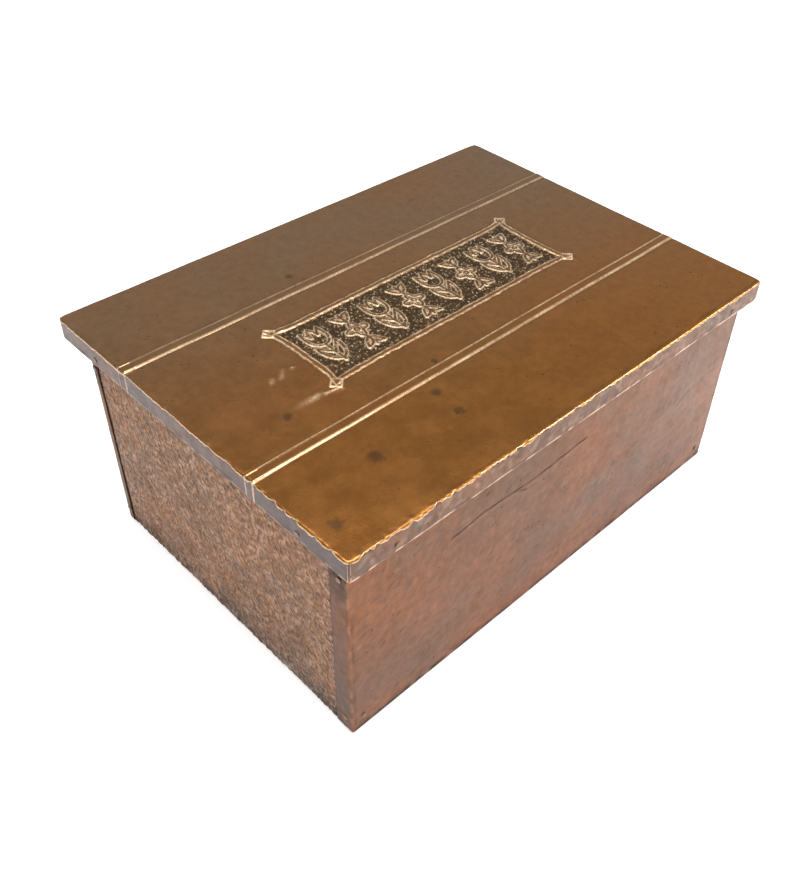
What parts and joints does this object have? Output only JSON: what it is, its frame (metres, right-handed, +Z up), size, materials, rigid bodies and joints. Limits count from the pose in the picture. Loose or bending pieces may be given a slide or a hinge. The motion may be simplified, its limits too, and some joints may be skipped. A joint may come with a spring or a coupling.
{
  "type": "copper-clad lidded storage box",
  "caption": "Low rectangular wooden storage box clad in beaten copper sheet, with an overhanging hinged lid, raised bands and an embossed panel.",
  "frame": {"origin": "on the floor, below the centre of the lid", "axes": "+X right along the long front, +Y to the hinged back, +Z up"},
  "size_m": [0.4336, 0.3182, 0.191],
  "materials": {
    "body_copper": "planished, brown patina",
    "hammered_copper": "hammered, brown patina",
    "lid_copper": "worn, brown patina with bright raised edges",
    "tack_copper": "worn, some verdigris",
    "hinge_brass": "aged",
    "screw_brass": "aged",
    "pin_steel": "worn",
    "steel_wire": "tarnished",
    "carcass_pine": "bare, aged",
    "lid_pine": "bare, aged",
    "batten_pine": "bare, aged"
  },
  "bodies": {
    "box": {"front_board": "carcass_pine", "back_board": "carcass_pine", "left_end_board": "carcass_pine", "right_end_board": "carcass_pine", "bottom_board": "carcass_pine", "front_copper_sheet": "body_copper", "back_copper_sheet": "body_copper", "left_copper_sheet": "hammered_copper", "right_copper_sheet": "hammered_copper", "carcass_nails": "steel_wire", "bottom_nails": "steel_wire", "body_copper_tacks": "tack_copper", "box_leaf_screws": "screw_brass", "hinge_left_box_leaf": "hinge_brass", "hinge_right_box_leaf": "hinge_brass", "hinge_left_pin": "pin_steel", "hinge_right_pin": "pin_steel"},
    "lid": {"lid_board_front": "lid_pine", "lid_board_rear": "lid_pine", "lid_batten_left": "batten_pine", "lid_batten_right": "batten_pine", "batten_screws": "screw_brass", "lid_copper_sheet": "lid_copper", "lid_copper_tacks": "tack_copper", "lid_leaf_screws": "screw_brass", "hinge_left_lid_leaf": "hinge_brass", "hinge_right_lid_leaf": "hinge_brass"}
  },
  "joints": [
    {"name": "lid_hinge", "type": "hinge", "parent": "box", "child": "lid", "pos_m": [0, 0.1363, 0.1719], "axis": [-1, 0, 0], "range_deg": [0, 95]}
  ]
}
